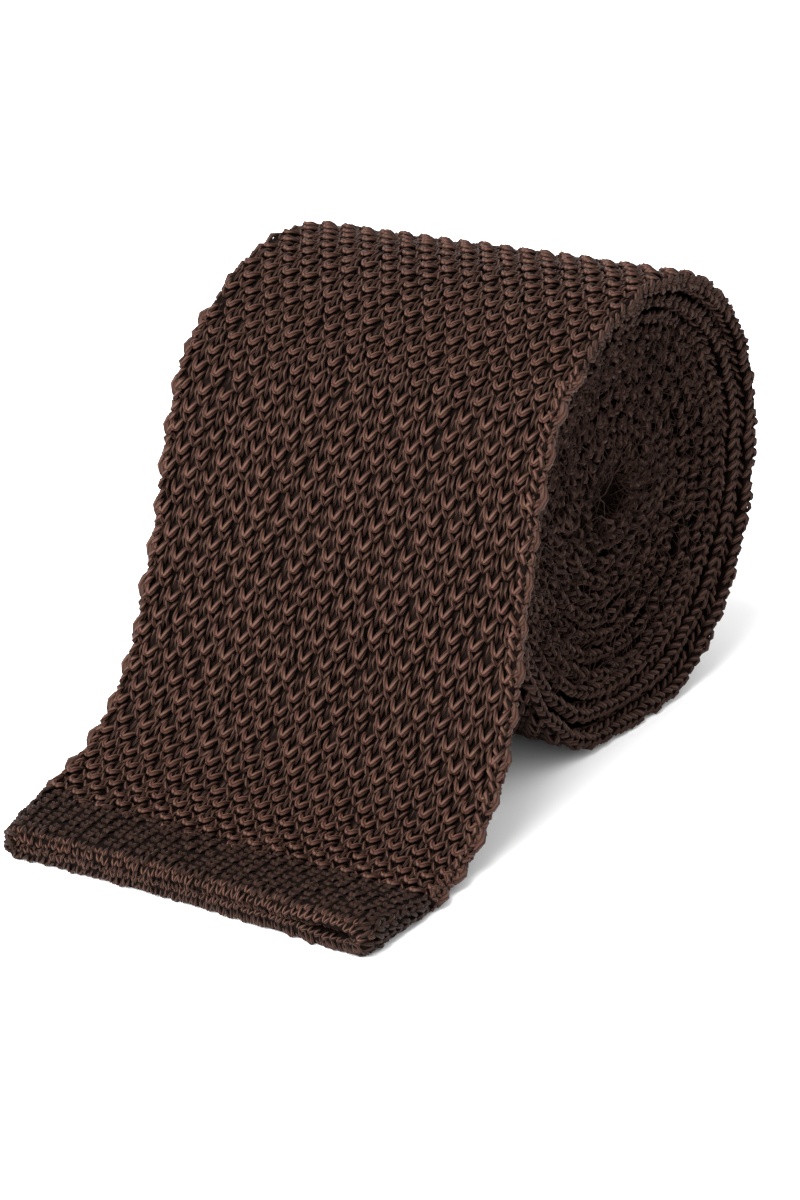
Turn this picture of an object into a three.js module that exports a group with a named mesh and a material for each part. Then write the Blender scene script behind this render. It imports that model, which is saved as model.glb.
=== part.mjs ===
// A knit tie, rolled up, with its broad end let down over the front of the roll and onto the floor.
//
// Millimetres, +Z up. X runs along the axis of the roll, and the broad end lies towards -Y on the
// floor at z = 0. The model is moved to the centre of its own box at the end.
//
// The real tie is one flat knitted tube: two layers of knit, folded into each other at both side
// edges, with nothing between them. So every section here is a flat ring, two walls with a thin
// slit, and the tube is swept along the path that the tie takes: flat on the floor, up the ramp,
// over the top and round and round into the roll. The tube is cut where the knit changes, at the
// plain bands of both ends, and where its width changes, at the two ends of the narrow neck.

import * as THREE from "three";

// Driving sizes.
const rollHeight = 66; // halfway along the roll
const coneDrop = 3.4; // the roll's left end is this much lower than its right end
const floorFlat = 1.3; // how far the roll's round is pressed flat by the floor
const holeRadius = 0.8;
const bladeWidth = 62.5;
const bandLength = 16.4;
const tailBandLength = 15;
const floorReach = 83.5; // from the roll's axis to the front edge of the broad end
const bandThick = 4; // at the left edge, where the band is thickest
const bladeThick = 2.7;
const neckThick = 1.9;
const tailThick = 2;
const turnGap = 0.3; // between one turn and the next
const sagGap = 0.4; // added under the roll, where the turns hang loose
const pieceGap = 0.3; // between two pieces of the tie, along its path
const slitShare = 0.15; // the slit between the two layers, as a share of the thickness

const stepsPerTurn = 24;
const stepAngle = (2 * Math.PI) / stepsPerTurn;
const firstStep = -2.5; // the step at which the tie leaves the ramp and starts on the roll
const bladeTurns = 1.6;
const tailStartTurns = 5.5;

// The ramp, from where the tie leaves the floor to where it meets the roll.
// out is the distance in front of the roll's axis and lift the height over the floor of the tie's
// middle line, both as shares of the roll's radius.
const rampRows = [
  { out: 1.95, lift: 0 },
  { out: 1.85, lift: 0.002 },
  { out: 1.74, lift: 0.014 },
  { out: 1.64, lift: 0.042 },
  { out: 1.54, lift: 0.096 },
  { out: 1.43, lift: 0.198 },
  { out: 1.32, lift: 0.352 },
  { out: 1.24, lift: 0.52 },
  { out: 1.17, lift: 0.695 },
  { out: 1.105, lift: 0.875 },
  { out: 1.035, lift: 1.05 },
  { out: 0.965, lift: 1.21 },
  { out: 0.875, lift: 1.375 },
  { out: 0.77, lift: 1.53 },
];

// The plain band at the broad end, from its front edge (0) to the knit of the blade (1).
// thick is the height at the left edge and rise what the right edge has more. slit and slitRise
// are the same for the space between the layers, and inset is how much each side is drawn in. All
// five are shares of the band's thickness. slitFrom is where the space between the layers starts,
// as a share of the width: the front edge is sewn shut from the left to there.
const bandRows = [
  { along: 0.0, thick: 0.8, rise: 0.2, slit: 0.075, slitRise: 0.22, slitFrom: 0.42, inset: 0.37 },
  { along: 0.06, thick: 0.97, rise: 0.22, slit: 0.075, slitRise: 0.22, slitFrom: 0.42, inset: 0.07 },
  { along: 0.16, thick: 1.0, rise: 0.22, slit: 0.22, slitRise: 0.2, slitFrom: 0.0, inset: 0.0 },
  { along: 0.55, thick: 0.9, rise: 0.12, slit: 0.2, slitRise: 0.1, slitFrom: 0.0, inset: 0.0 },
  { along: 1.0, thick: 0.75, rise: 0.0, slit: 0.12, slitRise: 0.0, slitFrom: 0.0, inset: 0.0 },
];

// The two side edges of the tie where it lies on the floor and on the ramp, as shares of the
// blade's width from the middle of the roll. The blade leans to the right as it comes down.
// along is the share of the way: the band runs from -1 to 0, and the ramp from 0 to 1.
const leanRows = [
  { along: -1, left: -0.341, right: 0.605 },
  { along: -0.001, left: -0.422, right: 0.59 },
  { along: 0, left: -0.435, right: 0.603 },
  { along: 0.085, left: -0.449, right: 0.584 },
  { along: 0.17, left: -0.452, right: 0.575 },
  { along: 0.25, left: -0.444, right: 0.574 },
  { along: 0.42, left: -0.44, right: 0.561 },
  { along: 0.6, left: -0.447, right: 0.539 },
  { along: 1, left: -0.503, right: 0.497 },
];

// The side edges and the thickness on the roll, by the number of turns from its top.
const rollRows = [
  { turns: -0.1, left: -0.503, right: 0.497, thick: bladeThick },
  { turns: 0, left: -0.512, right: 0.487, thick: bladeThick },
  { turns: 0.25, left: -0.509, right: 0.453, thick: bladeThick },
  { turns: 0.4, left: -0.506, right: 0.461, thick: bladeThick },
  { turns: bladeTurns, left: -0.485, right: 0.432, thick: bladeThick },
  { turns: bladeTurns + 0.5, left: -0.46, right: 0.422, thick: neckThick },
  { turns: tailStartTurns, left: -0.42, right: 0.389, thick: neckThick },
  { turns: tailStartTurns + 0.5, left: -0.415, right: 0.384, thick: tailThick },
];

const bladePitch = bladeThick + turnGap + sagGap / 2;
const facet = Math.cos(stepAngle / 2);
const rollRadius = ((rollHeight + floorFlat) / facet + bladePitch / 2) / 2;
const axisHeight = rollHeight - (rollRadius + bladePitch / stepsPerTurn / 2) * facet;

function mix(a, b, share) {
  return a + (b - a) * share;
}

// All values of a row of the table at the given place, between its neighbours.
function rowAt(rows, key, place) {
  const last = rows[rows.length - 1];
  if (place <= rows[0][key]) return { ...rows[0] };
  if (place >= last[key]) return { ...last };
  const next = rows.findIndex((row) => row[key] > place);
  const before = rows[next - 1];
  const share = (place - before[key]) / (rows[next][key] - before[key]);
  return mixRows(before, rows[next], share);
}

function mixRows(a, b, share) {
  const mixed = {};
  for (const name of Object.keys(a)) mixed[name] = mix(a[name], b[name], share);
  return mixed;
}

// A station is one cross-section of the tube. y and z are its middle, ny and nz point to its
// outer face, left and right are the side edges in x. leanY and leanZ say how far the left edge
// lies from the right one, because the roll is slightly conical.
function plainStation(values) {
  const slit = values.thick * slitShare;
  return { rise: 0, slitRise: 0, slitFrom: 0, slit, leanY: 0, leanZ: 0, ...values };
}

function bandStations() {
  return bandRows.map((row) => {
    const edges = rowAt(leanRows, "along", Math.min(row.along - 1, -0.001));
    return plainStation({
      y: -floorReach + row.along * bandLength,
      z: (row.thick * bandThick) / 2,
      ny: 0,
      nz: 1,
      left: edges.left * bladeWidth + row.inset * bandThick,
      right: edges.right * bladeWidth - row.inset * bandThick,
      thick: row.thick * bandThick,
      rise: row.rise * bandThick,
      slit: row.slit * bandThick,
      slitRise: row.slitRise * bandThick,
      slitFrom: row.slitFrom,
    });
  });
}

// How far from the axis the floor lets the roll reach at this angle, counted from the top.
function floorLimit(angle) {
  return Math.cos(angle) < 0 ? -axisHeight / Math.cos(angle) : Infinity;
}

// From where the tie leaves the ramp, round and round until only the hole is left. Each turn lies
// under the one before. round is its radius if the floor pressed nothing flat, so that the flat
// fades out from turn to turn.
function rollStations() {
  const stations = [];
  for (let step = firstStep; ; step += 1) {
    const angle = step * stepAngle;
    const turns = step / stepsPerTurn;
    const row = rowAt(rollRows, "turns", turns);
    let round = rollRadius - bladePitch * turns - row.thick / 2;
    let radius = Math.min(round, floorLimit(angle) - row.thick / 2);
    if (turns > 1) {
      const over = stations[stations.length - stepsPerTurn];
      const inward = (row.thick + over.thick) / 2 + turnGap;
      round = over.round - inward - (sagGap * (1 - Math.cos(angle))) / 2;
      radius = Math.min(round, over.radius - inward);
    }
    if (radius - row.thick / 2 < holeRadius) return stations;
    const station = plainStation({
      radius,
      round,
      y: Math.sin(angle) * radius,
      z: axisHeight + Math.cos(angle) * radius,
      ny: Math.sin(angle),
      nz: Math.cos(angle),
      left: row.left * bladeWidth,
      right: row.right * bladeWidth,
      thick: row.thick,
      leanY: -Math.sin(angle) * (coneDrop / 2),
      leanZ: -(1 + Math.cos(angle)) * (coneDrop / 2),
    });
    stations.push(station);
  }
}

// The ramp's stations stand square to the path, which is known once the roll's first station is.
// Its first one is where the blade's knit starts, right behind the band.
function rampStations(start, end) {
  const points = rampRows.map((row) => ({
    y: -row.out * rollRadius,
    z: row.lift * rollRadius + bladeThick / 2,
  }));
  const path = [start, ...points.filter((point) => point.y > start.y + 0.5), end];
  const lengths = runningLengths(path);
  const total = lengths[lengths.length - 1];
  return path.slice(0, -1).map((point, index) => {
    const before = path[Math.max(index - 1, 0)];
    const after = path[index + 1];
    const run = Math.hypot(after.y - before.y, after.z - before.z);
    const square = index > 0;
    const along = lengths[index] / total;
    const edges = rowAt(leanRows, "along", along);
    const height = (point.z - start.z) / (end.z - start.z);
    return plainStation({
      y: point.y,
      z: point.z,
      ny: square ? -(after.z - before.z) / run : 0,
      nz: square ? (after.y - before.y) / run : 1,
      left: edges.left * bladeWidth,
      right: edges.right * bladeWidth,
      thick: index === 0 ? start.thick : bladeThick,
      leanY: end.leanY * height,
      leanZ: end.leanZ * height,
    });
  });
}

function runningLengths(path) {
  const lengths = [0];
  for (let i = 1; i < path.length; i += 1) {
    const run = Math.hypot(path[i].y - path[i - 1].y, path[i].z - path[i - 1].z);
    lengths.push(lengths[i - 1] + run);
  }
  return lengths;
}

// The station that lies the given length past a, on the way to b.
function shifted(a, b, length) {
  const station = mixRows(a, b, length / Math.hypot(b.y - a.y, b.z - a.z));
  const size = Math.hypot(station.ny, station.nz);
  station.ny /= size;
  station.nz /= size;
  return station;
}

// The stretch of stations from first to last, drawn back by half a gap at each end that meets
// another piece.
function stretch(stations, first, last, meetsBefore, meetsAfter) {
  const part = stations.slice(first, last + 1);
  const end = part.length - 1;
  const head = meetsBefore ? shifted(part[0], part[1], pieceGap / 2) : part[0];
  const tail = meetsAfter ? shifted(part[end], part[end - 1], pieceGap / 2) : part[end];
  return [head, ...part.slice(1, end), tail];
}

// The outer outline of a section, counter-clockwise in x and height over the middle.
function outerLoop(station) {
  const low = -station.thick / 2;
  const leftTop = station.thick / 2;
  const rightTop = leftTop + station.rise;
  const round = station.thick * 0.3;
  return [
    [station.left + round, low],
    [station.right - round, low],
    [station.right, low + round],
    [station.right, rightTop - round],
    [station.right - round, rightTop],
    [station.left + round, leftTop],
    [station.left, leftTop - round],
    [station.left, low + round],
  ];
}

// The slit between the two layers, counter-clockwise too.
function slitLoop(station) {
  const fold = station.thick * 0.45;
  const from = station.left + fold + station.slitFrom * (station.right - station.left);
  const to = station.right - fold;
  const half = station.slit / 2;
  const lift = station.rise / 2;
  const halfRight = (station.slit + station.slitRise) / 2;
  const liftLeft = lift * station.slitFrom;
  return [
    [from, liftLeft - half],
    [to, lift - halfRight],
    [to, lift + halfRight],
    [from, liftLeft + half],
  ];
}

function inSpace(station, [x, over]) {
  const toLeft = 0.5 - (x - station.left) / (station.right - station.left);
  return [
    x,
    station.y + station.ny * over + station.leanY * toLeft,
    station.z + station.nz * over + station.leanZ * toLeft,
  ];
}

// Joins the same loop of all stations by quads. outwards is false for the slit's walls.
function addWalls(triangles, firstIndex, loopSize, stride, count, outwards) {
  for (let i = 0; i < count - 1; i += 1) {
    for (let j = 0; j < loopSize; j += 1) {
      const a = i * stride + firstIndex + j;
      const b = i * stride + firstIndex + ((j + 1) % loopSize);
      const c = b + stride;
      const d = a + stride;
      if (outwards) triangles.push(a, c, b, a, d, c);
      else triangles.push(a, b, c, a, c, d);
    }
  }
}

// The flat ring that closes one end of the tube, between the outline and the slit.
function addEnd(triangles, station, firstIndex, facesForward) {
  const outline = outerLoop(station).map(([x, over]) => new THREE.Vector2(x, over));
  const slit = slitLoop(station).map(([x, over]) => new THREE.Vector2(x, over));
  const points = [...outline, ...slit];
  for (const [a, b, c] of THREE.ShapeUtils.triangulateShape(outline, [slit])) {
    const ab = points[b].clone().sub(points[a]);
    const ac = points[c].clone().sub(points[a]);
    const counterClockwise = ab.cross(ac) > 0;
    const order = counterClockwise === facesForward ? [a, b, c] : [a, c, b];
    triangles.push(...order.map((index) => index + firstIndex));
  }
}

function tubeMesh(name, stations, material) {
  const positions = [];
  const triangles = [];
  for (const station of stations) {
    for (const point of [...outerLoop(station), ...slitLoop(station)]) {
      positions.push(...inSpace(station, point));
    }
  }
  const outerSize = outerLoop(stations[0]).length;
  const slitSize = slitLoop(stations[0]).length;
  const stride = outerSize + slitSize;
  addWalls(triangles, 0, outerSize, stride, stations.length, true);
  addWalls(triangles, outerSize, slitSize, stride, stations.length, false);
  addEnd(triangles, stations[0], 0, true);
  addEnd(triangles, stations[stations.length - 1], (stations.length - 1) * stride, false);
  const geometry = new THREE.BufferGeometry();
  geometry.setAttribute("position", new THREE.Float32BufferAttribute(positions, 3));
  geometry.setIndex(triangles);
  geometry.computeVertexNormals();
  const mesh = new THREE.Mesh(geometry, material);
  mesh.name = name;
  return mesh;
}

function knit(colour) {
  return new THREE.MeshStandardMaterial({ color: colour, roughness: 0.62, metalness: 0 });
}

// The whole path, from the front edge of the broad end to the tail end in the core of the roll.
const band = bandStations();
const roll = rollStations();
const ramp = rampStations(band[band.length - 1], roll[0]);
const body = [...ramp, ...roll];

const rollStart = ramp.length - firstStep;
const bladeLast = Math.round(rollStart + bladeTurns * stepsPerTurn);
const neckLast = Math.round(rollStart + tailStartTurns * stepsPerTurn);
const lengths = runningLengths(body);
const bodyEnd = lengths[lengths.length - 1];
const tailLast = lengths.findIndex((length) => length > bodyEnd - tailBandLength);
const last = body.length - 1;

const tie = new THREE.Group();
tie.name = "knit_tie";
tie.add(
  tubeMesh("blade_end_band", stretch(band, 0, band.length - 1, false, true), knit(0x362823)),
  tubeMesh("blade_knit", stretch(body, 0, bladeLast, true, true), knit(0x3a2924)),
  tubeMesh("neck_knit", stretch(body, bladeLast, neckLast, true, true), knit(0x38271f)),
  tubeMesh("tail_knit", stretch(body, neckLast, tailLast, true, true), knit(0x38271f)),
  tubeMesh("tail_end_band", stretch(body, tailLast, last, true, false), knit(0x342621)),
);

// The origin is the centre of the box at floor height.
const box = new THREE.Box3().setFromObject(tie);
tie.position.x = -(box.min.x + box.max.x) / 2;
tie.position.y = -(box.min.y + box.max.y) / 2;
tie.position.z = -box.min.z;

export default tie;
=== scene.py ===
# %% [markdown]
# # A knit tie, rolled up
#
# A knit tie is one long flat tube of silk-like yarn. Here it is rolled up from its narrow end, and
# the last stretch of the broad end comes down over the front of the roll and lies on the floor.
# The measured model has the shape of that tube. This script adds what the eye reads as knit: every
# stitch of yarn, laid on the tube's own faces.

# %% Load the measured model
import math

import bpy
import numpy as np
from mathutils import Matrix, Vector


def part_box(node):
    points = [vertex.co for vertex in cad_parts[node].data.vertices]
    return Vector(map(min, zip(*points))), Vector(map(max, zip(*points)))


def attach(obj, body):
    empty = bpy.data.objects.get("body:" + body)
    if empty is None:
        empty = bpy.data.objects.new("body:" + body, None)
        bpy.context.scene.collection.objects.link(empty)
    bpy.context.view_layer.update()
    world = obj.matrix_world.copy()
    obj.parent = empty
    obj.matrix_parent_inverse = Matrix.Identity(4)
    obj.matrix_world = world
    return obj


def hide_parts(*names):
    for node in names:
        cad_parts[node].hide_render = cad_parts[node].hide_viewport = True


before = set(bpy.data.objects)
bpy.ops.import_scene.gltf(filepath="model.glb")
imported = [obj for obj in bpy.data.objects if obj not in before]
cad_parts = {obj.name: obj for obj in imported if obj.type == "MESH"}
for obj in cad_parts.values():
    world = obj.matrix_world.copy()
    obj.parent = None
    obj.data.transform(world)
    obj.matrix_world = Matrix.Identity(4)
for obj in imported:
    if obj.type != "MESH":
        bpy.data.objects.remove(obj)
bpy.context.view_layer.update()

# %% [markdown]
# ## The camera
#
# The photograph looks down on the tie by about 22 degrees, from its front right. A long lens from
# far away keeps the edges nearly parallel, as in a picture taken for a shop. The numbers come from
# matching corners of the model with the same corners in the photograph.

# %% Place the camera
camera_data = bpy.data.cameras.new("shop_camera")
camera_data.sensor_width = 36
camera_data.lens = 147.26
camera_data.clip_start = 0.05
camera_data.clip_end = 20
camera = bpy.data.objects.new("shop_camera", camera_data)
camera.location = (0.34886, -0.53298, 0.28379)
camera.rotation_euler = (math.radians(67.701), 0, math.radians(33.093))
bpy.context.scene.collection.objects.link(camera)
bpy.context.scene.camera = camera
print("camera at", [round(v, 3) for v in camera.location])

# %% [markdown]
# ## Floor and light
#
# The floor is a plain pale sheet, lit until it is nearly white. One large soft lamp stands at the
# left of the camera, so that the left leg of each stitch catches the light and the roll's right
# end stays dark. The pale surroundings fill the shadows.

# %% Make the floor, the lamps and the pale surroundings
def new_material(name, **values):
    """A material with a Principled shader, and values for the shader's own sockets."""
    material = bpy.data.materials.new(name)
    material.use_nodes = True
    shader = material.node_tree.nodes["Principled BSDF"]
    for socket, value in values.items():
        shader.inputs[socket.replace("_", " ")].default_value = value
    return material, shader


def new_object(name, mesh):
    piece = bpy.data.objects.new(name, mesh)
    bpy.context.scene.collection.objects.link(piece)
    return piece


def add_lamp(name, azimuth, elevation, distance, size, power):
    """An area lamp that looks at the middle of the tie. Azimuth 0 is in front, 90 at the right."""
    lamp = bpy.data.lights.new(name, "AREA")
    lamp.size = size
    lamp.energy = power
    a, e = math.radians(azimuth), math.radians(elevation)
    away = np.array((math.sin(a) * math.cos(e), -math.cos(a) * math.cos(e), math.sin(e)))
    holder = bpy.data.objects.new(name, lamp)
    holder.location = tuple(away * distance + np.array((0, 0, 0.03)))
    holder.rotation_euler = (math.radians(90) - e, 0, a)
    bpy.context.scene.collection.objects.link(holder)


floor_half = 3.0
floor_mesh = bpy.data.meshes.new("floor")
floor_mesh.from_pydata(
    [(-floor_half, -floor_half, 0), (floor_half, -floor_half, 0),
     (floor_half, floor_half, 0), (-floor_half, floor_half, 0)], [], [(0, 1, 2, 3)])
floor = new_object("floor", floor_mesh)
floor.data.materials.append(
    new_material("pale_floor", Base_Color=(0.86, 0.86, 0.86, 1), Roughness=0.9, Specular_IOR_Level=0.0)[0])

world = bpy.data.worlds.new("pale_room")
world.use_nodes = True
world.node_tree.nodes["Background"].inputs["Color"].default_value = (1, 1, 1, 1)
world.node_tree.nodes["Background"].inputs["Strength"].default_value = 1.36
bpy.context.scene.world = world
add_lamp("key_lamp", -14, 43, 0.9, 0.9, 35)
bpy.context.scene.view_settings.view_transform = "Standard"
print("floor", 2 * floor_half, "m, one lamp")

# %% [markdown]
# ## The path of the tie
#
# Seen from the side, the tie is a line: along the floor, up the ramp, then a spiral that gets
# tighter with every turn. All stitches are placed by this line, so it is worked out first, with
# the same sizes that the measured model was made with. A station is one cross-section on the way.
# Everything is in millimetres until a mesh is made.

# %% Sizes of the tie
roll_height = 66.0
cone_drop = 3.4
floor_flat = 1.3
hole_radius = 0.8
blade_width = 62.5
band_length = 16.4
tail_band_length = 15.0
floor_reach = 83.5
band_thick = 4.0
blade_thick = 2.7
neck_thick = 1.9
tail_thick = 2.0
turn_gap = 0.3
sag_gap = 0.4
steps_per_turn = 24
first_step = -2.5
blade_turns = 1.6
tail_start_turns = 5.5

# out and lift: place in front of the roll's axis and height over the floor, in roll radii.
ramp_rows = ((1.95, 0.0), (1.85, 0.002), (1.74, 0.014), (1.64, 0.042), (1.54, 0.096),
             (1.43, 0.198), (1.32, 0.352), (1.24, 0.52), (1.17, 0.695), (1.105, 0.875),
             (1.035, 1.05), (0.965, 1.21), (0.875, 1.375), (0.77, 1.53))
# Share of the way, and the left and right edge in blade widths.
lean_rows = ((-1, -0.341, 0.605), (-0.001, -0.422, 0.59), (0, -0.435, 0.603),
             (0.085, -0.449, 0.584), (0.17, -0.452, 0.575), (0.25, -0.444, 0.574),
             (0.42, -0.44, 0.561), (0.6, -0.447, 0.539), (1, -0.503, 0.497))
# Turns from the top, the left and right edge in blade widths, and the thickness.
roll_rows = ((-0.1, -0.503, 0.497, blade_thick), (0, -0.512, 0.487, blade_thick),
             (0.25, -0.509, 0.453, blade_thick), (0.4, -0.506, 0.461, blade_thick),
             (blade_turns, -0.485, 0.432, blade_thick),
             (blade_turns + 0.5, -0.46, 0.422, neck_thick),
             (tail_start_turns, -0.42, 0.389, neck_thick),
             (tail_start_turns + 0.5, -0.415, 0.384, tail_thick))

# %% Work out the stations
blade_pitch = blade_thick + turn_gap + sag_gap / 2
step_angle = 2 * math.pi / steps_per_turn
facet = math.cos(step_angle / 2)
roll_radius = ((roll_height + floor_flat) / facet + blade_pitch / 2) / 2
axis_height = roll_height - (roll_radius + blade_pitch / steps_per_turn / 2) * facet
STATION = ("y", "z", "ny", "nz", "left", "right", "thick", "lean_y", "lean_z", "turns")


def from_table(rows, place):
    """The values of a table's row at the given place, between its neighbours."""
    columns = list(zip(*rows))
    return [float(np.interp(place, columns[0], column)) for column in columns[1:]]


def roll_stations():
    """Round and round from the ramp's top to the hole, each turn under the one before."""
    stations, rounds, radii = [], [], []
    step = first_step
    while True:
        angle, turns = step * step_angle, step / steps_per_turn
        left, right, thick = from_table(roll_rows, turns)
        sine, cosine = math.sin(angle), math.cos(angle)
        floor_limit = -axis_height / cosine if cosine < -1e-9 else math.inf
        even_round = roll_radius - blade_pitch * turns - thick / 2
        radius = min(even_round, floor_limit - thick / 2)
        if turns > 1:
            inward = (thick + stations[-steps_per_turn][6]) / 2 + turn_gap
            even_round = rounds[-steps_per_turn] - inward - sag_gap * (1 - cosine) / 2
            radius = min(even_round, radii[-steps_per_turn] - inward)
        if radius - thick / 2 < hole_radius:
            return stations
        rounds.append(even_round)
        radii.append(radius)
        stations.append((sine * radius, axis_height + cosine * radius, sine, cosine,
                         left * blade_width, right * blade_width, thick,
                         -sine * cone_drop / 2, -(1 + cosine) * cone_drop / 2, turns))
        step += 1


def ramp_stations(end):
    """From behind the end band to the first station of the roll."""
    y0, z0 = band_length - floor_reach, band_thick * 0.75 / 2
    path = [(y0, z0)] + [(-out * roll_radius, lift * roll_radius + blade_thick / 2)
                         for out, lift in ramp_rows if -out * roll_radius > y0 + 0.5]
    path.append(end[:2])
    path = np.array(path)
    lengths = np.concatenate(([0], np.cumsum(np.linalg.norm(np.diff(path, axis=0), axis=1))))
    stations = []
    for i, (y, z) in enumerate(path[:-1]):
        run = path[i + 1] - path[max(i - 1, 0)]
        run = run / np.linalg.norm(run) if i else np.array((1.0, 0.0))
        left, right = from_table(lean_rows, lengths[i] / lengths[-1])
        height = (z - z0) / (end[1] - z0)
        stations.append((y, z, -run[1], run[0], left * blade_width, right * blade_width,
                         blade_thick, end[7] * height, end[8] * height, -1.0))
    return stations


def smooth(rows, parts):
    """More stations between the given ones, on curves that pass through all of them."""
    rows = np.array(rows)
    padded = np.vstack((2 * rows[0] - rows[1], rows, 2 * rows[-1] - rows[-2]))
    result = []
    for i in range(1, len(padded) - 2):
        a, b, c, d = padded[i - 1:i + 3]
        for part in range(parts):
            t = part / parts
            result.append(0.5 * (2 * b + (c - a) * t + (2 * a - 5 * b + 4 * c - d) * t ** 2
                                 + (3 * b - a - 3 * c + d) * t ** 3))
    return np.vstack((result, rows[-1]))


roll = roll_stations()
body = smooth([*ramp_stations(roll[0]), *roll], 4)
body_s = np.concatenate(([0], np.cumsum(np.linalg.norm(np.diff(body[:, :2], axis=0), axis=1))))
body_length = float(body_s[-1])

# %% [markdown]
# The measured model has its origin in the middle of its own box. The path is counted from the
# roll's axis, so the difference is read from the box of one of the model's nodes.

# %% From the path to the model's own place
band_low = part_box("blade_end_band")[0]
blade_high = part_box("blade_knit")[1]
right_most = from_table(lean_rows, 0)[1] * blade_width
move = np.array((blade_high[0] * 1000 - right_most, band_low[1] * 1000 + floor_reach,
                 band_low[2] * 1000))
print("moved by, mm:", move.round(3))


def value(stations, name):
    return stations[:, STATION.index(name)]


def on_cloth(stations, x, over):
    """Points at x across the tie and at the given height over its middle line."""
    left, right = value(stations, "left")[:, None], value(stations, "right")[:, None]
    to_left = 0.5 - (x - left) / (right - left)
    y, z, ny, nz = (value(stations, key)[:, None] for key in ("y", "z", "ny", "nz"))
    y = y + ny * over + value(stations, "lean_y")[:, None] * to_left
    z = z + nz * over + value(stations, "lean_z")[:, None] * to_left
    return (np.stack((x, y, z), axis=2) + move) / 1000


# %% [markdown]
# ## The cloth under the stitches
#
# Between the stitches one looks through to the back of the other stitches, which is nearly black.
# A real tube of knit is open there. A thin closed tube just under the yarn stands for all of it: it stops
# the eye, its near-black colour is painted shade, and it is the sheet of cloth that carries the stitches.

# %% The section of the tube
ground_share = 0.42  # how deep the ground lies under a face with stitches, in thicknesses
fold_share = 0.12  # the same round a fold
crown = 0.32  # inside the roll the turns swell by this much, in mm, until they touch
core_overshoot = 0.8  # the last turn swells past the middle of the hole it goes round, and shuts it
edge_places = (0.0, 0.04, 0.17, 0.33, 0.5, 0.67, 0.83, 0.96, 1.0)


def fold_points(stations, share, degrees, right_side):
    """Points round a folded edge. 90 degrees is the outer face, 0 the edge, -90 the inner face."""
    thick = value(stations, "thick")[:, None]
    radius = thick * (0.5 - share)
    angles = np.radians(np.array(degrees, dtype=float))[None, :]
    if right_side:
        x = value(stations, "right")[:, None] - thick / 2 + radius * np.cos(angles)
    else:
        x = value(stations, "left")[:, None] + thick / 2 - radius * np.cos(angles)
    return x, radius * np.sin(angles)


def face_points(stations, share, outer, places=edge_places[1:-1]):
    """Points across a flat face, from left to right."""
    thick = value(stations, "thick")[:, None]
    left = value(stations, "left")[:, None] + thick / 2
    right = value(stations, "right")[:, None] - thick / 2
    x = left + (right - left) * np.array(places)[None, :]
    return x, (1 if outer else -1) * thick * (0.5 - share) * np.ones_like(x)


def joined(*parts):
    """The points of several parts of a section, one after the other."""
    return [np.hstack(columns) for columns in zip(*parts)]


def ground_face(stations, outer):
    """A face of the ground: deep where stitches lie on it, swollen where turns press on it."""
    turns = value(stations, "turns")
    inside = np.interp(turns, (0.9, 1.05) if outer else (-0.1, 0.05), (0, 1))[:, None]
    places = np.array(edge_places)
    swell = inside * np.sin(np.pi * places)[None, :] ** 0.5
    x, over = face_points(stations, ground_share, outer, places)
    full = value(stations, "thick")[:, None] * ground_share + crown
    if not outer:
        last_turn = turns > body[-1][-1] - 1
        hole = body[value(body, "turns") > body[-1][-1] - 1, :2].mean(axis=0)
        to_hole = ((stations[:, :2] - hole) * stations[:, 2:4]).sum(axis=1)[:, None]
        full = np.where(last_turn[:, None], to_hole + core_overshoot, full)
        swell = np.where(last_turn[:, None], np.minimum(1, 2.2 * swell), swell)
    flat = (places > 0.01) & (places < 0.99)
    return x, over + (1 if outer else -1) * np.where(flat, swell * full, 0.0)


def ring(stations):
    """The whole outline of a section: over the outer face, round the right edge and back."""
    x_in, over_in = ground_face(stations, False)
    return joined(ground_face(stations, True),
                  fold_points(stations, fold_share, (60, 30, 0, -30, -60), True),
                  (x_in[:, ::-1], over_in[:, ::-1]),
                  fold_points(stations, fold_share, (-60, -30, 0, 30, 60), False))


def grid_mesh(name, points, closed):
    """A mesh of quads over a grid of points. A closed grid gets both of its ends shut too."""
    rows, columns = points.shape[:2]
    faces = []
    for i in range(rows - 1):
        for j in range(columns if closed else columns - 1):
            a, b = i * columns + j, i * columns + (j + 1) % columns
            faces.append((a, b, b + columns, a + columns))
    if closed:
        faces.append(tuple(range(columns))[::-1])
        faces.append(tuple((rows - 1) * columns + j for j in range(columns)))
    mesh = bpy.data.meshes.new(name)
    mesh.from_pydata(points.reshape(-1, 3).tolist(), [], faces)
    mesh.shade_smooth()
    return mesh


# %% Make the ground cloth
ground = new_object("knit_cloth", grid_mesh(
    "knit_cloth", on_cloth(body, *ring(body)), True))
print("ground cloth:", len(ground.data.polygons), "faces")

# %% [markdown]
# ## The end band
#
# The broad end is finished with a band of plain knit. The tube's two layers are sewn together at
# the front edge, which leaves a dark line between two soft lips. At the right end the line is open
# and one looks into the tube. The band is lofted from side to side, because the shape of its
# front edge changes only in that direction.

# %% Shape of the band
# Share of the way from front to back, thickness at the left, and what the right has more, both in
# thicknesses of the band.
band_rows = ((0.0, 0.9, 0.22), (0.06, 0.97, 0.22), (0.16, 1.0, 0.22), (0.55, 0.87, 0.12),
             (1.0, 0.62, 0.0))
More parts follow.
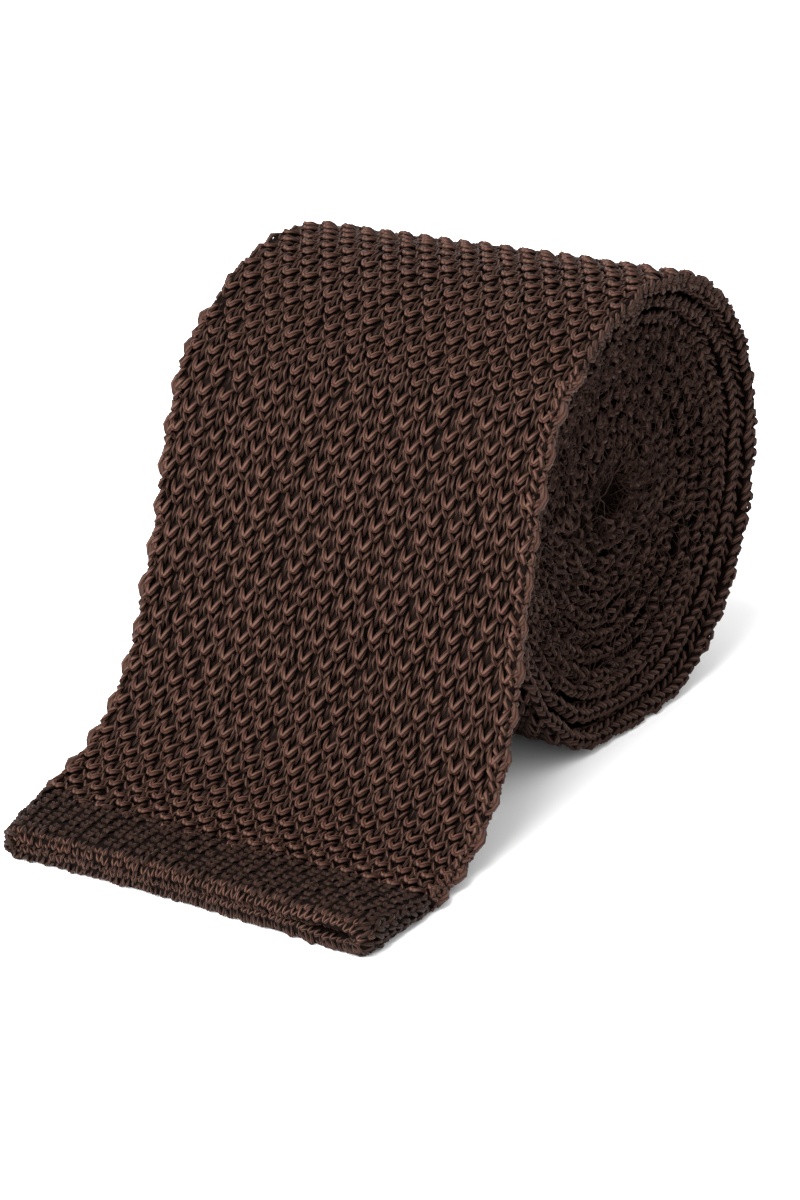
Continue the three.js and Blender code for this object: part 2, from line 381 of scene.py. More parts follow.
# Share of the way from left to right, depth of the line between the lips, and its height, in mm.
lip_rows = ((0.0, 0.3, 0.1), (0.03, 0.9, 0.6), (0.08, 1.0, 0.5), (0.12, 0.4, 0.2),
            (0.42, 0.5, 0.3), (0.55, 1.0, 0.6), (0.7, 1.0, 0.5), (0.83, 1.6, 0.8),
            (0.88, 3.2, 1.6), (0.94, 3.2, 1.4), (0.975, 0.6, 0.4), (1.0, 0.3, 0.1))
nose_reach = 1.7  # how far the top of the front edge lies behind its middle
band_bow = 0.8  # how much further forward the corners lie than the middle of the front edge
band_columns = 72


def corner_inset(along):
    """The front corners are rounded off: how far the side edge has drawn in, in mm."""
    return 1.5 * max(0, 1 - along / 1.2) ** 2


def band_height(way, share):
    thick, rise = from_table(band_rows, way)
    return (thick + rise * share) * band_thick


def band_profile(share):
    """The closed outline of the band at a share of its width: (place behind the front, height)."""
    depth, gap = from_table(lip_rows, share)
    front = band_height(0.06, share)
    ply = (front - gap) / 2
    lip = ply / 2
    roundness = 0.8 * min(1, depth / 1.2)
    middle = front / 2

    def nose(height):
        """How far the rounded front edge has drawn back at a height."""
        off_middle = (height - middle) / middle
        reach = nose_reach if off_middle > 0 else 0.4 * nose_reach
        return reach * (1 - math.sqrt(max(0.0, 1 - off_middle ** 2)))

    outline = []
    for along in np.linspace(1, 0.12, 10):
        outline.append((along * band_length, band_height(along, share)))
    for angle in np.radians((50, 20, -10, -40, -70)):
        near = lip * (1 - math.cos(angle)) * (0.5 if angle > 0 else roundness)
        height = front - lip + lip * math.sin(angle)
        outline.append((near + nose(height), height))
    outline += [(max(depth * 0.6, 0.2), ply + gap * 0.8), (depth, ply + gap / 2),
                (max(depth * 0.6, 0.2), ply + gap * 0.2)]
    for angle in np.radians((70, 40, 10, -20, -50)):
        near = lip * (1 - math.cos(angle)) * (0.5 if angle < 0 else roundness)
        height = lip + lip * math.sin(angle)
        outline.append((near + nose(height), height))
    outline += [(along * band_length, 0.0) for along in (0.12, 0.35, 0.65, 1.0)]
    return outline


def band_points(first, last, shrink):
    """The band's points from side to side, for the outline's points from first to last."""
    shares = 0.5 - 0.5 * np.cos(np.linspace(0, math.pi, band_columns)) * 1.0
    rows = []
    for share in shares:
        row = []
        for along, height in band_profile(share)[first:last]:
            way = along / band_length
            left, right = (edge * blade_width for edge in
                           from_table(lean_rows, min(way - 1, -0.001)))
            left, right = left + corner_inset(along), right - corner_inset(along)
            half = band_height(way, share) / 2
            edge = min(share, 1 - share) * (right - left)
            fold = math.sqrt(max(0.02, 1 - (1 - min(edge, half) / half) ** 2))
            x = left + (right - left) * share
            middle = half
            z = middle + (height - middle) * fold
            y = -floor_reach + along + band_bow * (1 - (2 * share - 1) ** 2) * (1 - way)
            row.append((x, y, z))
        rows.append(row)
    points = np.array(rows)
    if shrink:
        across = np.gradient(points, axis=0)
        around = np.gradient(points, axis=1)
        normal = np.cross(around, across)
        normal /= np.maximum(np.linalg.norm(normal, axis=2, keepdims=True), 1e-9)
        points = points - normal * shrink
    return (points + move) / 1000


# %% Make the band
outline_size = len(band_profile(0.5))
band_grid = band_points(0, outline_size, 0.0)
band = new_object("band_cloth", grid_mesh("band_cloth", band_grid, True))
print("band cloth:", len(band.data.polygons), "faces")

# %% [markdown]
# ## Yarn
#
# The yarn is a bundle of a few shiny plies, laid side by side with little twist. Close up, each leg of a
# stitch shows two or three fine bright lines along it. The plies are drawn in the stitch's own map: one
# direction runs along the yarn, in millimetres, the other once round it. The grooves between the plies are
# a bump, and painted shade as well: the colour is darker there, so the plies read as fine bright lines.
# The same node group serves all yarn, each material with its own values.

# %% Node group for the plies of a yarn
def add_node(tree, kind, ins=None, **settings):
    """A node with its settings. ins maps an input to a value, or to the socket that feeds it."""
    node = tree.nodes.new(kind)
    for name, setting in settings.items():
        setattr(node, name, setting)
    for key, given in (ins or {}).items():
        if isinstance(given, bpy.types.NodeSocket):
            tree.links.new(given, node.inputs[key])
        else:
            node.inputs[key].default_value = given
    return node


def new_group(name, kind, ins, outs):
    """An empty node group with named inputs (name, type, value) and outputs (name, type)."""
    group = bpy.data.node_groups.new(name, kind)
    for label, socket, start in ins:
        made = group.interface.new_socket(label, in_out="INPUT", socket_type="NodeSocket" + socket)
        if start is not None:
            made.default_value = start
    for label, socket in outs:
        group.interface.new_socket(label, in_out="OUTPUT", socket_type="NodeSocket" + socket)
    return group, group.nodes.new("NodeGroupInput").outputs, group.nodes.new("NodeGroupOutput")


def ply_group():
    group, given, result = new_group(
        "yarn_plies", "ShaderNodeTree",
        [("Map", "Vector", None), ("Plies", "Float", 4.0), ("Twist", "Float", 0.06),
         ("Fuzz", "Float", 0.3)],
        [("Height", "Float"), ("Groove", "Float")])
    split = add_node(group, "ShaderNodeSeparateXYZ", {0: given["Map"]})
    turned = add_node(group, "ShaderNodeMath", {0: split.outputs["X"], 1: given["Twist"]},
                      operation="MULTIPLY")
    around = add_node(group, "ShaderNodeMath", {0: split.outputs["Y"], 1: turned.outputs[0]},
                      operation="ADD")
    turns = add_node(group, "ShaderNodeMath", {0: around.outputs[0], 1: given["Plies"]},
                     operation="MULTIPLY")
    angle = add_node(group, "ShaderNodeMath", {0: turns.outputs[0], 1: math.pi},
                     operation="MULTIPLY")
    wave = add_node(group, "ShaderNodeMath", {0: angle.outputs[0]}, operation="SINE")
    ply = add_node(group, "ShaderNodeMath", {0: wave.outputs[0]}, operation="ABSOLUTE")
    stretched = add_node(group, "ShaderNodeVectorMath", {0: given["Map"], 1: (1.1, 14.0, 1.0)},
                         operation="MULTIPLY")
    fibres = add_node(group, "ShaderNodeTexNoise", {"Vector": stretched.outputs[0], "Scale": 1.0,
                                                    "Detail": 2.0})
    fuzz = add_node(group, "ShaderNodeMath", {0: fibres.outputs[0], 1: given["Fuzz"]},
                    operation="MULTIPLY")
    height = add_node(group, "ShaderNodeMath", {0: ply.outputs[0], 1: fuzz.outputs[0]},
                      operation="ADD")
    groove = add_node(group, "ShaderNodeMapRange", {"Value": height.outputs[0], "From Min": 0.4,
                                                    "From Max": 1.0})
    group.links.new(height.outputs[0], result.inputs["Height"])
    group.links.new(groove.outputs[0], result.inputs["Groove"])
    return group


plies = ply_group()


def yarn_material(name, deep, dark, red, gold, strands, **values):
    """Shiny yarn, colour by ply and stitch, bump by ply; painted shade in grooves and by depth."""
    material, shader = new_material(name, **values)
    tree = material.node_tree
    place = add_node(tree, "ShaderNodeUVMap", uv_map="yarn")
    yarn = add_node(tree, "ShaderNodeGroup", node_tree=plies)
    tree.links.new(place.outputs[0], yarn.inputs["Map"])
    yarn.inputs["Plies"].default_value = strands
    tone = add_node(tree, "ShaderNodeAttribute", attribute_name="tone")
    coordinates = add_node(tree, "ShaderNodeTexCoord")
    patches = add_node(tree, "ShaderNodeTexNoise",
                       {"Vector": coordinates.outputs["Object"], "Scale": 90.0, "Detail": 2.0})
    mixed_tone = add_node(tree, "ShaderNodeMath", {0: tone.outputs["Fac"], 1: patches.outputs[0]},
                          operation="ADD")
    share = add_node(tree, "ShaderNodeMapRange", {"Value": mixed_tone.outputs[0], "From Min": 0.0,
                                                  "From Max": 2.0, "To Min": 0.6, "To Max": 1.0})
    # Painted shade: the colour is darker in the grooves between the plies.
    by_ply = add_node(tree, "ShaderNodeMath",
                      {0: share.outputs[0], 1: yarn.outputs["Groove"]}, operation="MULTIPLY")
    flecks = add_node(tree, "ShaderNodeTexNoise",
                      {"Vector": coordinates.outputs["Object"], "Scale": 1500.0})
    fleck_share = add_node(tree, "ShaderNodeMapRange",
                           {"Value": flecks.outputs[0], "From Min": 0.4, "From Max": 0.65})
    light = add_node(tree, "ShaderNodeMix", {0: fleck_share.outputs[0], 6: red, 7: gold},
                     data_type="RGBA")
    colour = add_node(tree, "ShaderNodeMix",
                      {0: by_ply.outputs[0], 6: dark, 7: light.outputs[2]}, data_type="RGBA")
    # Painted shade: the deep colour is mixed in where the stitch's depth is low.
    depth = add_node(tree, "ShaderNodeAttribute", attribute_name="depth")
    shaded = add_node(tree, "ShaderNodeMix", {0: depth.outputs["Fac"], 6: deep,
                                              7: colour.outputs[2]}, data_type="RGBA")
    bump = add_node(tree, "ShaderNodeBump",
                    {"Height": yarn.outputs["Height"], "Strength": 0.9, "Distance": 0.0001})
    tree.links.new(shaded.outputs[2], shader.inputs["Base Color"])
    tree.links.new(bump.outputs[0], shader.inputs["Normal"])
    return material


# The first colour of each yarn is painted shade, mixed in where the yarn dives into the cloth.
painted_shade_brown = (0.0065, 0.0036, 0.0027, 1)
body_yarn = yarn_material("brown_silk_yarn", painted_shade_brown, (0.017, 0.0078, 0.0058, 1),
                          (0.068, 0.0285, 0.0222, 1), (0.067, 0.035, 0.0212, 1), 5.0,
                          Roughness=0.5, Specular_IOR_Level=0.1, Specular_Tint=(1, 0.75, 0.65, 1))
# The band's yarn is the same yarn as the blade's, painted darker: painted shade over the band.
shaded_band_yarn = yarn_material("brown_band_yarn", painted_shade_brown, (0.006, 0.0028, 0.0022, 1),
                          (0.025, 0.0108, 0.0086, 1), (0.024, 0.0129, 0.0079, 1), 4.0,
                          Roughness=0.55, Specular_IOR_Level=0.09,
                          Specular_Tint=(1, 0.75, 0.65, 1))
# The yarn at the folds is another copy of the same yarn, with colours set for the ends of the roll and the
# band's lip: painted light and shade.
end_yarn = yarn_material("brown_yarn_at_the_folds", (0.0105, 0.0062, 0.0051, 1),
                         (0.0175, 0.0093, 0.0076, 1), (0.056, 0.027, 0.0219, 1),
                         (0.0575, 0.0325, 0.022, 1), 5.0, Roughness=0.6,
                         Specular_IOR_Level=0.06, Specular_Tint=(1, 0.75, 0.65, 1))
print("yarn materials:", body_yarn.name, shaded_band_yarn.name, end_yarn.name)

# %% [markdown]
# The ground behind the stitches is the same yarn, seen only in the dark between them. Its colour is
# painted shade, a dark colour that changes a little, and it has a fine bump of stitches.

# %% Material of the ground
def ground_material(name, dark, light, scale):
    material, shader = new_material(name, Roughness=0.9, Specular_IOR_Level=0.02)
    tree = material.node_tree
    coordinates = add_node(tree, "ShaderNodeTexCoord")
    cells = add_node(tree, "ShaderNodeTexVoronoi", {"Vector": coordinates.outputs["Object"],
                                                    "Scale": scale})
    colour = add_node(tree, "ShaderNodeMix", {0: cells.outputs["Distance"], 6: light, 7: dark},
                      data_type="RGBA")
    bump = add_node(tree, "ShaderNodeBump", {"Height": cells.outputs["Distance"], "Strength": 0.7,
                                             "Distance": 0.0004})
    bump.invert = True
    tree.links.new(colour.outputs[2], shader.inputs["Base Color"])
    tree.links.new(bump.outputs[0], shader.inputs["Normal"])
    return material


# Both grounds are a near-black brown: painted shade in the holes between the stitches.
painted_shade_ground = ground_material("painted_shade_behind_the_knit", (0.0012, 0.0008, 0.0006, 1),
                              (0.006, 0.0034, 0.0027, 1), 900.0)
ground.data.materials.append(painted_shade_ground)
band.data.materials.append(
    ground_material("band_ground_painted_shade", (0.0014, 0.0009, 0.0007, 1), (0.0045, 0.0026, 0.0021, 1), 700.0))

# %% [markdown]
# ## The shapes of the stitches
#
# A stitch of the blade is a V: a loop of yarn whose two legs come up from the depth, swell on the
# face of the cloth and dive again at their tips. Behind it shows a second, smaller V, and from its
# tips two long strands run deep in the cloth to the stitch above. x runs across the cloth, y
# along it and z out of it, all in millimetres.

# %% Tubes of yarn
def strand(points, radii, sides, start):
    """A closed tube through the points. Its map runs along the yarn in mm and once round it."""
    points = np.array(points, dtype=float)
    runs = np.gradient(points, axis=0)
    runs /= np.linalg.norm(runs, axis=1)[:, None]
    side = np.cross(runs, (0.0, 0.0, 1.0))
    side /= np.maximum(np.linalg.norm(side, axis=1), 1e-6)[:, None]
    up = np.cross(side, runs)
    lengths = np.concatenate(([0], np.cumsum(np.linalg.norm(np.diff(points, axis=0), axis=1))))
    verts, faces, maps = [], [], []
    for point, a, b, radius in zip(points, side, up, radii):
        for k in range(sides):
            angle = 2 * math.pi * k / sides
            verts.append(point + radius * (math.cos(angle) * a + math.sin(angle) * b))
    for i in range(len(points) - 1):
        for k in range(sides):
            first, second = i * sides, (i + 1) * sides
            faces.append([start + n for n in (first + k, first + (k + 1) % sides,
                                              second + (k + 1) % sides, second + k)])
            maps.append([(lengths[i], k / sides), (lengths[i], (k + 1) / sides),
                         (lengths[i + 1], (k + 1) / sides), (lengths[i + 1], k / sides)])
    for ring_start, backwards in ((0, True), ((len(points) - 1) * sides, False)):
        order = list(range(sides))[::-1] if backwards else list(range(sides))
        faces.append([start + ring_start + n for n in order])
        maps.append([(lengths[-1] if ring_start else 0.0, n / sides) for n in order])
    return verts, faces, maps


def stitch_object(name, strands, low, high, fold=None):
    """A helper object of one stitch. Its yarn is painted darkest below low and bright above high: painted
    shade where the yarn dives into the cloth. fold bends it round an edge of that radius."""
    verts, faces, maps = [], [], []
    for points, radii, sides in strands:
        v, f, m = strand(points, radii, sides, len(verts))
        verts += [list(p) for p in v]
        faces += f
        maps += m
    verts = np.array(verts)
    # Painted shade: the depth stored here darkens the yarn's colour where it lies deep in the cloth.
    depth = np.clip((verts[:, 2] - low) / (high - low), 0, 1) ** 1.2
    if fold:
        angle, out = verts[:, 0] / fold, fold + verts[:, 2]
        verts[:, 0], verts[:, 2] = out * np.sin(angle), out * np.cos(angle) - fold
    mesh = bpy.data.meshes.new(name)
    mesh.from_pydata((verts / 1000).tolist(), [], faces)
    layer = mesh.uv_layers.new(name="yarn")
    layer.data.foreach_set("uv", np.array([c for m in maps for c in m]).ravel())
    shade = mesh.attributes.new("depth", "FLOAT", "POINT")
    shade.data.foreach_set("value", depth.astype(np.float32))
    mesh.shade_smooth()
    return new_object(name, mesh)


def both_legs(points, radii, sides):
    """A leg and its mirror image."""
    mirrored = [(-x, y, z) for x, y, z in points]
    return [(points, radii, sides), (mirrored[::-1], radii[::-1], sides)]


# %% Stitches of the blade
big_v = both_legs([(0.0, -0.34, 0.28), (0.26, -0.26, 0.34), (0.5, 0.18, 0.28),
                   (0.7, 0.7, 0.06), (0.92, 1.25, -0.28), (1.2, 2.0, -0.6)],
                  [0.38, 0.41, 0.43, 0.39, 0.31, 0.18], 5)
small_v = both_legs([(0.04, -1.9, -0.42), (0.3, -1.55, -0.16), (0.68, -0.9, -0.14),
                     (1.02, -0.2, -0.42)], [0.27, 0.36, 0.35, 0.24], 4)
deep_strands = both_legs([(0.5, 1.3, -0.5), (0.3, 2.6, -0.24), (0.4, 4.0, -0.5)],
                         [0.24, 0.33, 0.24], 4)
blade_stitch = stitch_object("blade_stitch", big_v + small_v + deep_strands, -0.7, 0.75)
back_stitch = stitch_object("back_stitch", big_v + small_v, -0.7, 0.75)
plain_v = both_legs([(0.05, -0.36, -0.15), (0.26, -0.12, 0.16), (0.43, 0.35, 0.14),
                     (0.56, 0.9, -0.1), (0.6, 1.4, -0.45)], [0.26, 0.34, 0.32, 0.27, 0.18], 5)
plain_stitch = stitch_object("plain_stitch", plain_v, -0.3, 0.6)
lip_size = 0.7  # the last rows along the front edge are this much smaller
lip_stitch = stitch_object("lip_stitch", [
    (np.array(points) * lip_size, np.array(radii) * lip_size, sides)
    for points, radii, sides in plain_v], -0.4 * lip_size, 0.55 * lip_size)
fold_stitch = stitch_object("fold_stitch", both_legs(
    [(0.1, -0.4, -0.3), (0.34, 0.05, 0.1), (0.78, 0.8, 0.1), (1.15, 1.5, -0.4)],
    [0.28, 0.38, 0.36, 0.2], 5), -0.6, 0.55, fold=1.0)
edge_loop = stitch_object("edge_loop", [
    ([(0, -2.0, -0.5), (0.15, -1.1, 0.1), (0, 0, 0.42), (-0.15, 1.1, 0.1), (0, 2.0, -0.5)],
     [0.35, 0.52, 0.6, 0.52, 0.35], 5)], -0.6, 0.9)
loose_fibre = stitch_object("loose_fibre", [
    ([(-2.4, -1.2, -0.4), (-1.2, 0.3, 0.5), (0.4, 0.7, 0.9), (1.8, -0.2, 0.6), (2.6, -1.6, -0.2)],
     [0.05, 0.07, 0.07, 0.07, 0.05], 3)], -0.6, 0.6)
helpers = [blade_stitch, back_stitch, plain_stitch, lip_stitch, fold_stitch, edge_loop, loose_fibre]
print("faces of one blade stitch:", len(blade_stitch.data.polygons))

# %% [markdown]
# ## Laying the stitches on the cloth
#
# A Geometry Nodes tree counts out rows and columns of points, finds each point's place on a face
# of the cloth by the face's own map, turns a copy of the stitch to stand on it, and makes
# everything real. The map holds the share across the cloth and the length along it in metres, so
# the row spacing is a real size. Every second row is moved by half a stitch, as on the real knit.

# %% The tree that lays stitches
def stitch_tree():
    tree, given, result = new_group(
        "stitches_on_cloth", "GeometryNodeTree",
        [("Cloth face", "Geometry", None), ("Stitch", "Object", None), ("Material", "Material", None),
         ("Row spacing", "Float", 0.0029), ("First row", "Int", 0), ("Rows", "Int", 10),
         ("Columns", "Int", 10), ("Row shift", "Float", 0.25), ("Size spread", "Float", 0.05),
         ("Turn spread", "Float", 0.08), ("Place spread", "Float", 0.0001), ("Seed", "Int", 1)],
        [("Stitches", "Geometry")])

    def maths(operation, a, b=0.0):
        return add_node(tree, "ShaderNodeMath", {0: a, 1: b}, operation=operation).outputs[0]

    count = maths("MULTIPLY", given["Rows"], given["Columns"])
    points = add_node(tree, "GeometryNodePoints", {"Count": count})
    index = add_node(tree, "GeometryNodeInputIndex").outputs[0]
    row_here = maths("FLOOR", maths("DIVIDE", maths("ADD", index, 0.5), given["Columns"]))
    column = maths("SUBTRACT", index, maths("MULTIPLY", row_here, given["Columns"]))
    row = maths("ADD", row_here, given["First row"])
    odd = maths("MULTIPLY", maths("SUBTRACT", maths("MODULO", row, 2.0), 0.5), 2.0)
    shift = maths("MULTIPLY", odd, given["Row shift"])
    across = maths("DIVIDE", maths("ADD", maths("ADD", column, 0.5), shift), given["Columns"])
    along = maths("MULTIPLY", maths("ADD", row, 0.5), given["Row spacing"])
    place = add_node(tree, "ShaderNodeCombineXYZ", {0: across, 1: along}).outputs[0]

    def on_face(name, value_socket=None):
        field = value_socket or add_node(tree, "GeometryNodeInputNamedAttribute", {"Name": name},
                                         data_type="FLOAT_VECTOR").outputs[0]
        face_map = add_node(tree, "GeometryNodeInputNamedAttribute", {"Name": "place"},
                            data_type="FLOAT_VECTOR").outputs[0]
        return add_node(tree, "GeometryNodeSampleUVSurface",
                        {"Mesh": given["Cloth face"], "Value": field, "UV Map": face_map,
                         "Sample UV": place}, data_type="FLOAT_VECTOR")

    spot = on_face("", add_node(tree, "GeometryNodeInputPosition").outputs[0])
    outward, upward = on_face("outward"), on_face("upward")
    rough = [add_node(tree, "FunctionNodeRandomValue", {0: (-1, -1, -1), 1: (1, 1, 1),
                                                        "Seed": maths("ADD", given["Seed"], n)},
                      data_type="FLOAT_VECTOR").outputs[0] for n in (0.0, 100.0)]

    def scaled(vector, size):
        return add_node(tree, "ShaderNodeVectorMath", {0: vector, "Scale": size},
                        operation="SCALE").outputs[0]

    moved = add_node(tree, "GeometryNodeSetPosition", {
        "Geometry": points.outputs[0], "Position": spot.outputs[0],
        "Offset": scaled(rough[0], given["Place spread"])})
    stand = add_node(tree, "FunctionNodeAxesToRotation", {0: outward.outputs[0],
                                                          1: upward.outputs[0]},
                     primary_axis="Z", secondary_axis="Y").outputs[0]
    twist = add_node(tree, "FunctionNodeEulerToRotation",
                     {0: scaled(rough[1], given["Turn spread"])}).outputs[0]
    turned = add_node(tree, "FunctionNodeRotateRotation", {0: stand, 1: twist},
                      rotation_space="LOCAL").outputs[0]
    low_size = maths("SUBTRACT", 1.0, given["Size spread"])
    high_size = maths("ADD", 1.0, given["Size spread"])
    size = add_node(tree, "FunctionNodeRandomValue",
                    {2: low_size, 3: high_size, "Seed": maths("ADD", given["Seed"], 200.0)})
    stitch = add_node(tree, "GeometryNodeObjectInfo", {"Object": given["Stitch"]})
    # The points' places are fixed before the rotation is worked out, because the map is read by
    # the point's number, and deleting points would change the numbers.
    copies = add_node(tree, "GeometryNodeInstanceOnPoints", {
        "Points": moved.outputs[0], "Selection": spot.outputs["Is Valid"],
        "Instance": stitch.outputs["Geometry"], "Rotation": turned,
        "Scale": size.outputs[1]})
    tone = add_node(tree, "FunctionNodeRandomValue",
                    {2: 0.0, 3: 1.0, "Seed": maths("ADD", given["Seed"], 300.0)})
    toned = add_node(tree, "GeometryNodeStoreNamedAttribute",
                     {"Geometry": copies.outputs[0], "Name": "tone", "Value": tone.outputs[1]},
                     data_type="FLOAT", domain="INSTANCE")
    real = add_node(tree, "GeometryNodeRealizeInstances", {"Geometry": toned.outputs[0]})
    coloured = add_node(tree, "GeometryNodeSetMaterial", {"Geometry": real.outputs[0],
                                                          "Material": given["Material"]})
    tree.links.new(coloured.outputs[0], result.inputs[0])
    return tree


laying = stitch_tree()
print("nodes in the stitch tree:", len(laying.nodes))

# %% [markdown]
# A face of the cloth is a grid of points with three things stored on it: its map, the direction
# out of the cloth, and the direction along it. The rows of the real knit aren't quite square to
# the roll: they run down to the right, so the map is slanted by a few hundredths.

# %% Faces of the cloth
row_slants = ((0, 0.02), (0.1, 0.05), (0.3, 0.08), (0.6, 0.1), (1.0, 0.04), (1.3, 0.0))
ramp_end = 4 * (len(body) // 4 - len(roll) + 1)
blade_inset = 0.2
seed_count = iter(range(1, 100))


# Distance behind the band, in mm, and how close the rows stand there. They crowd where the blade
# bends up from the floor and where it bends over the roll.
crest = float(body_s[np.argmax(value(body, "turns") > 0)])
row_packing = ((0, 0.77), (12, 0.77), (34, 1.0), (crest - 30, 1.0), (crest - 10, 0.88),
               (crest + 15, 0.88), (crest + 40, 1.0))
closeness = np.interp((body_s[1:] + body_s[:-1]) / 2, *zip(*row_packing))
packed_in = np.concatenate(([0], np.cumsum(np.diff(body_s) * (1 / closeness - 1))))


def face_object(name, points, along):
    """A helper object: a face of the cloth with its map and its directions."""
    across = np.gradient(points, axis=1)
    up = np.gradient(points, axis=0)
    out = np.cross(across, up)
    steps = np.linalg.norm(np.diff(points, axis=1), axis=2)
    share = np.hstack((np.zeros((len(points), 1)), np.cumsum(steps, axis=1)))
    share = share / share[:, -1:]
    place = np.stack((share, along, np.zeros_like(share)), axis=2)
    mesh = grid_mesh(name, points, False)
    for key, vectors in (("place", place), ("outward", out), ("upward", up)):
        if key != "place":
            vectors = vectors / np.maximum(np.linalg.norm(vectors, axis=2, keepdims=True), 1e-12)
        layer = mesh.attributes.new(key, "FLOAT_VECTOR", "POINT")
        layer.data.foreach_set("vector", vectors.reshape(-1).astype(np.float32))
    return new_object(name, mesh)


def slanted(points, lengths, slant=True):
    """The length along the cloth for each point, in metres, with the slant of the rows."""
    along = np.repeat(lengths[:, None] / 1000, points.shape[1], axis=1)
    if slant:
        amount = np.interp(lengths / body_length * 6, *zip(*row_slants))
        amount = amount / np.interp(lengths, *zip(*row_packing))
        off_middle = points[:, :, 0] - points[:, :, 0].mean(axis=1, keepdims=True)
        along = along + np.interp(lengths, body_s, packed_in)[:, None] / 1000
        along = along + amount[:, None] * off_middle
    return along


def lay(name, face, stitch, material, **inputs):
    """Lays stitches on a face and returns them as one plain mesh."""
    piece = face.copy()
    piece.data = face.data.copy()
    piece.name = name
    bpy.context.scene.collection.objects.link(piece)
    modifier = piece.modifiers.new("stitches", "NODES")
    modifier.node_group = laying
    inputs = {"Stitch": stitch, "Material": material, "Seed": 10 * next(seed_count), **inputs}
    for item in laying.interface.items_tree:
        if item.in_out == "INPUT" and item.name in inputs:
            modifier[item.identifier] = inputs[item.name]
    depsgraph = bpy.context.evaluated_depsgraph_get()
    mesh = bpy.data.meshes.new_from_object(
        piece.evaluated_get(depsgraph), preserve_all_data_layers=True, depsgraph=depsgraph)
    piece.modifiers.clear()
    piece.data = mesh
    mesh.name = name
    triangles = sum(len(p.vertices) - 2 for p in mesh.polygons)
    print(f"{name}: {triangles} triangles")
    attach(piece, "root")
    return piece


# %% Stitches on the blade
row_spacing = 0.0029
columns = 17
face_fold = (45, 60, 75)


def cloth_face(name, stations, lengths, outer):
    """The outer or inner face of a stretch of the tube, with the start of its folds."""
    sign = 1 if outer else -1
    degrees = [sign * angle for angle in face_fold]
    x, over = joined(fold_points(stations, blade_inset, degrees, False),
                     face_points(stations, blade_inset, outer),
                     fold_points(stations, blade_inset, degrees[::-1], True))
    if not outer:
        x, over = x[:, ::-1], over[:, ::-1]
    points = on_cloth(stations, x, over)
    face = face_object(name, points, slanted(points, lengths))
    helpers.append(face)
    return face


outer_last = int(np.argmax(value(body, "turns") > 0.93))
overlap = 1.6  # the first row lies over the end of the band, in mm
before = body[:1].copy()
before[0, 0] -= overlap
outer = cloth_face("outer_face", np.vstack((before, body[:outer_last])),
                   np.concatenate(([-overlap], body_s[:outer_last])), True)
rows_in_all = int((body_s + packed_in)[outer_last] / 1000 / row_spacing)
for name, first, last in (("blade_stitches_ramp", 0, 0.36), ("blade_stitches_top", 0.36, 0.7),
                          ("blade_stitches_back", 0.7, 1.0)):
    first, last = int(rows_in_all * first) or -1, int(rows_in_all * last)
    lay(name, outer, blade_stitch, body_yarn,
                      **{"Row spacing": row_spacing, "First row": first, "Rows": last - first,
                         "Columns": columns, "Row shift": 0.25, "Size spread": 0.07,
                         "Turn spread": 0.13, "Place spread": 0.00014})

under_last = int(np.argmax(value(body, "turns") > -0.06))
under = cloth_face("under_face", body[:under_last], body_s[:under_last], False)
lay("blade_stitches_under", under, back_stitch, body_yarn,
                  **{"Row spacing": row_spacing, "Columns": columns, "Row shift": 0.25,
                     "Rows": int((body_s + packed_in)[under_last] / 1000 / row_spacing)})

# %% [markdown]
# The ends of the roll show nothing but folded edges, turn upon turn. Each fold is a chain of
# stitches that wraps round it. On the outer turns, where one also looks in under the edge, a
# second chain lies beside the first.

# %% Stitches on the folds at both sides of all turns
fold_spacing = 0.0016
one_chain = (60, 40, 20, 0, -20, -40, -60)
inner_first = int(np.argmax(value(body, "turns") > 2.6))
core_first = int(np.argmax(value(body, "turns") > value(body, "turns")[-1] - 1.3))
two_chains = (60, 40, 20, 0, -20, -40, -65, -90)
loop_degrees = {"left": (90, 60, 30, 0, -30), "right": one_chain}
fold_ranges = (("ramp", 0, under_last, 2, (75, 50, 25, 0, -25, -50, -75)),
               ("outer", under_last, inner_first, 2, two_chains),
               ("inner", inner_first, core_first, 1, one_chain),
               ("core", core_first, len(body) - 1, 2, two_chains))


def edge_face(name, first, last, degrees, right):
    """A narrow face round a folded edge, from one station to another."""
    stations = body[max(first - 2, 0):last + 3]
    section = fold_points(stations, 0.1, degrees, right)
    if degrees is two_chains:
        thick = value(stations, "thick")[:, None]
        inwards = (thick / 2 + np.array((1.2, 2.4))[None, :]) * (-1 if right else 1)
        edge = value(stations, "right" if right else "left")[:, None]
        section = joined(section, (edge + inwards, -0.4 * thick * np.ones((1, 2))))
    if not right:
        section = [part_points[:, ::-1] for part_points in section]
    points = on_cloth(stations, *section)
    face = face_object(name, points, slanted(points, body_s[max(first - 2, 0):last + 3], False))
    helpers.append(face)
    return face


def rows_between(first, last, spacing):
    """The first row and the number of rows between two stations."""
    start, end = (round(body_s[i] / 1000 / spacing) for i in (first, last))
    return {"Row spacing": spacing, "First row": start, "Rows": end - start}


